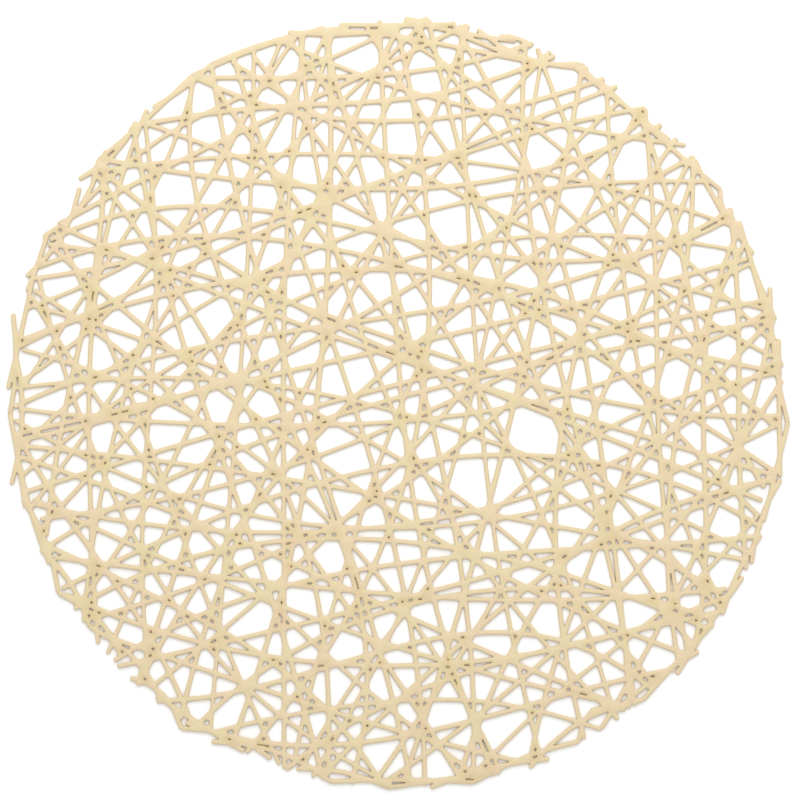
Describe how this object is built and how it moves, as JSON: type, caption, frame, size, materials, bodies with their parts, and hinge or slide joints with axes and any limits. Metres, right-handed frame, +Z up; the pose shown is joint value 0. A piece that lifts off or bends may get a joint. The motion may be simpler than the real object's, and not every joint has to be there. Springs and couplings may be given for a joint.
{
  "type": "round placemat",
  "caption": "Flat round placemat moulded as an open web of crossing strands, with an uneven rim where the strand ends show.",
  "frame": {"origin": "centre of the mat's outline, on its underside", "axes": "+Z is up through the thickness, and +Y is the top of the picture, seen from above"},
  "size_m": [0.38, 0.3748, 0.0015],
  "materials": {
    "web": "satin, light peach cream, with fine uneven tone"
  },
  "bodies": {
    "root": {"placemat": "web"}
  },
  "joints": []
}
